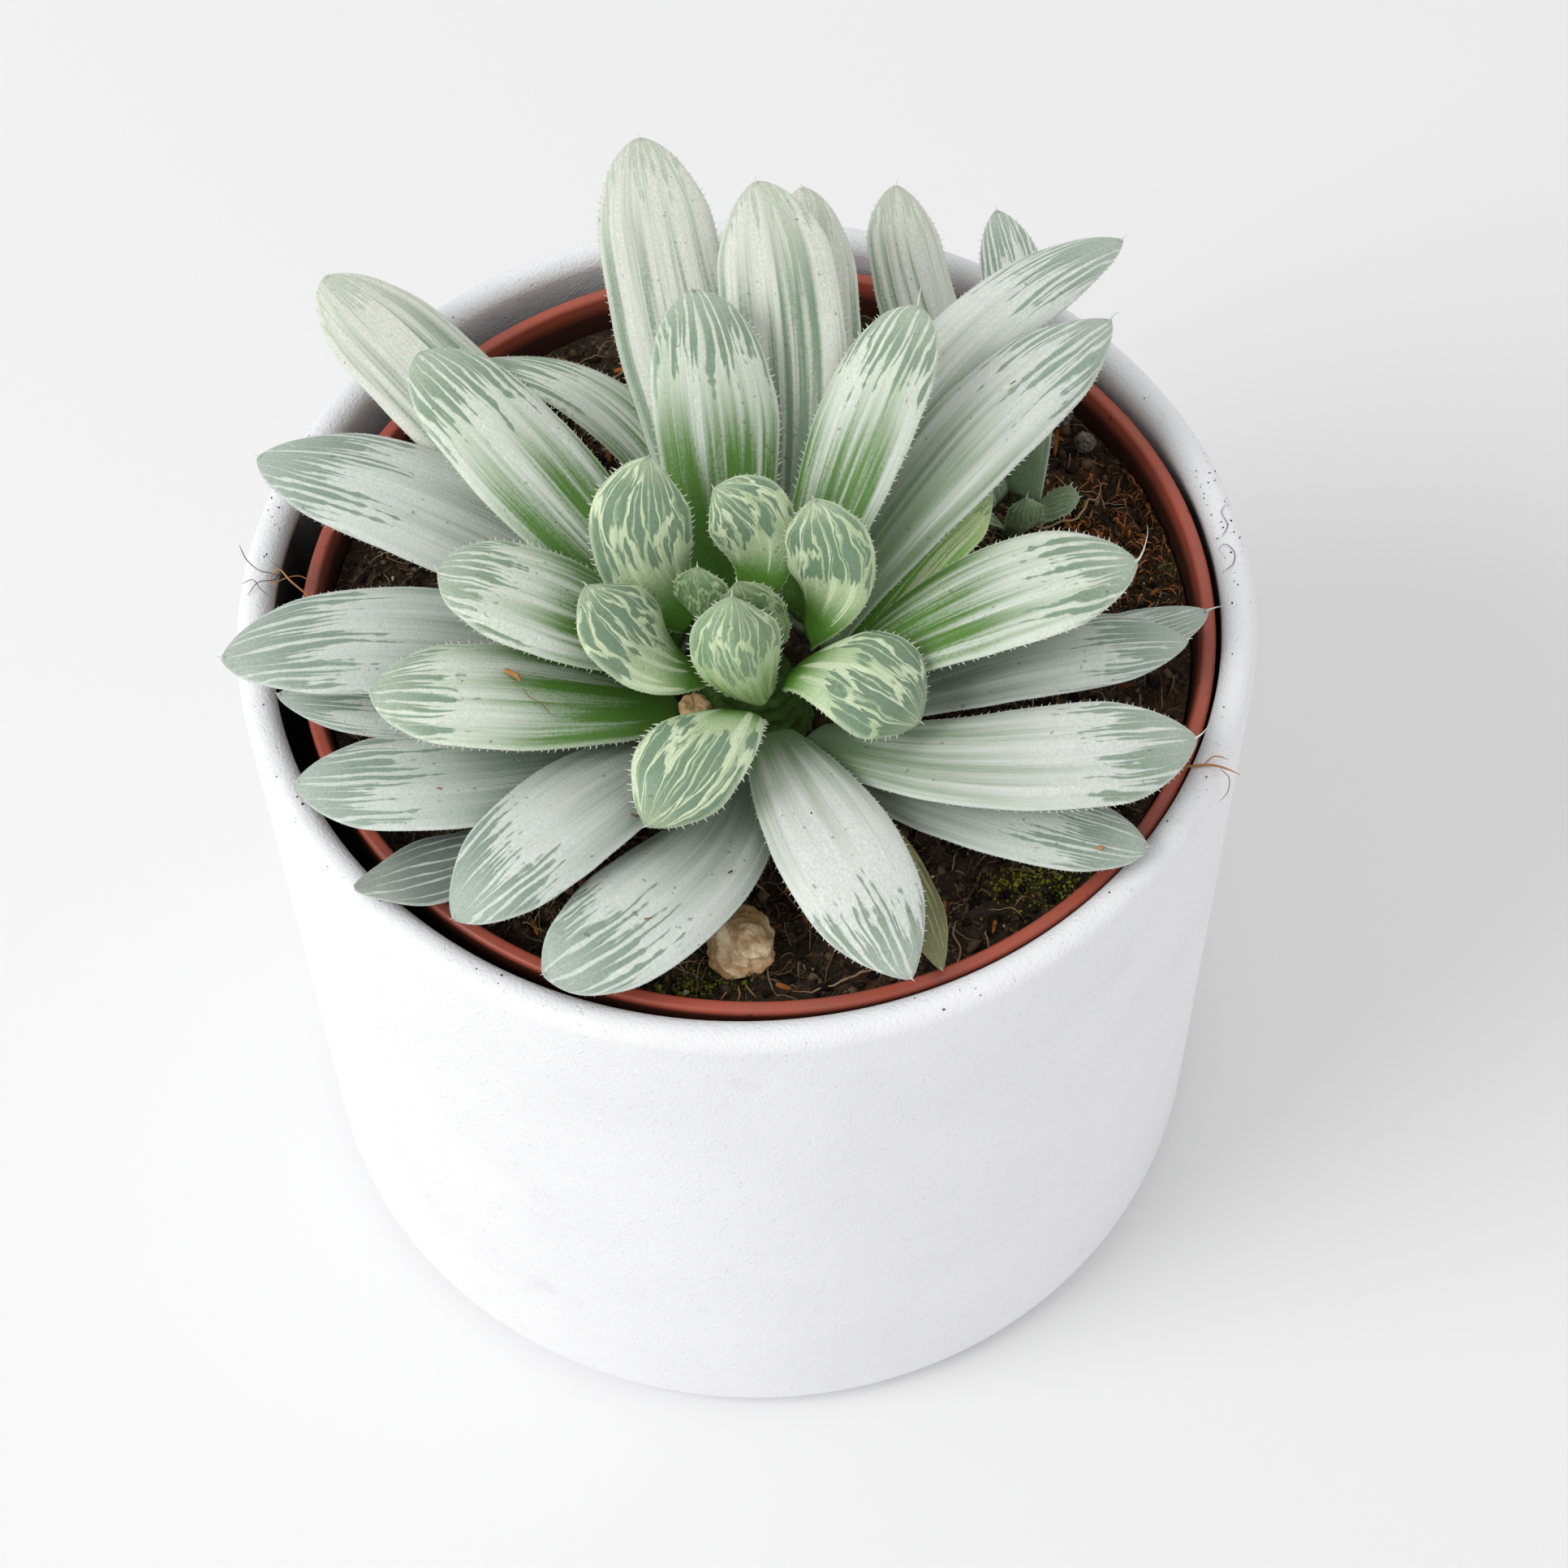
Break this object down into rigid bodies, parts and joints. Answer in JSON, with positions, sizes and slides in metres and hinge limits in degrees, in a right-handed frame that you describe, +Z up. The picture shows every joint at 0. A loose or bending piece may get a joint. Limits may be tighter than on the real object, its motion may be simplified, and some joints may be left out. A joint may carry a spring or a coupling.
{
  "type": "potted succulent",
  "caption": "Rosette succulent with thick variegated leaves, in a plastic nursery pot set inside a plain white ceramic cover pot.",
  "frame": {"origin": "centre of the cover pot's flat underside, on the surface it stands on", "axes": "+Z up along the cover pot's axis; -Y is the front, the side nearest the viewer; +X is the viewer's right"},
  "size_m": [0.095, 0.095, 0.103],
  "materials": {
    "white_ceramic": "matte, finely grained",
    "terracotta_plastic": "satin",
    "peat": "loose fibrous growing mix",
    "stem_tissue": "matte",
    "outer_leaf": "finely rough, pale striped skin",
    "inner_leaf": "satin, windowed skin",
    "offset_leaf": "satin",
    "dry_plant": "dry and fibrous",
    "pumice": "rough"
  },
  "bodies": {
    "root": {"cover_pot": "white_ceramic", "nursery_pot": "terracotta_plastic", "soil": "peat", "stem": "stem_tissue", "offset_stem": "stem_tissue", "leaf_lowest_01": "outer_leaf", "leaf_lowest_02": "outer_leaf", "leaf_lowest_03": "outer_leaf", "leaf_lowest_04": "outer_leaf", "leaf_lowest_05": "outer_leaf", "leaf_lowest_06": "outer_leaf", "leaf_lowest_07": "outer_leaf", "leaf_lowest_08": "outer_leaf", "leaf_lowest_09": "outer_leaf", "leaf_lowest_10": "outer_leaf", "leaf_lowest_11": "outer_leaf", "leaf_lowest_12": "outer_leaf", "leaf_lowest_13": "outer_leaf", "leaf_lower_01": "outer_leaf", "leaf_lower_02": "outer_leaf", "leaf_lower_03": "outer_leaf", "leaf_lower_04": "outer_leaf", "leaf_lower_05": "outer_leaf", "leaf_lower_06": "outer_leaf", "leaf_lower_07": "outer_leaf", "leaf_middle_01": "outer_leaf", "leaf_middle_02": "outer_leaf", "leaf_middle_03": "outer_leaf", "leaf_middle_04": "outer_leaf", "leaf_middle_05": "outer_leaf", "leaf_middle_06": "outer_leaf", "leaf_upper_01": "inner_leaf", "leaf_upper_02": "inner_leaf", "leaf_upper_03": "inner_leaf", "leaf_upper_04": "inner_leaf", "leaf_inner_01": "inner_leaf", "leaf_inner_02": "inner_leaf", "leaf_inner_03": "inner_leaf", "leaf_inner_04": "inner_leaf", "leaf_inner_05": "inner_leaf", "leaf_bud_01": "inner_leaf", "leaf_bud_02": "inner_leaf", "leaf_bud_03": "inner_leaf", "offset_leaf_01": "offset_leaf", "offset_leaf_02": "offset_leaf", "offset_leaf_03": "offset_leaf", "offset_leaf_04": "offset_leaf", "offset_leaf_05": "offset_leaf", "flower_stalk_stub": "dry_plant", "pumice_1": "pumice", "pumice_2": "pumice", "pumice_3": "pumice", "dry_husk": "dry_plant"}
  },
  "joints": []
}
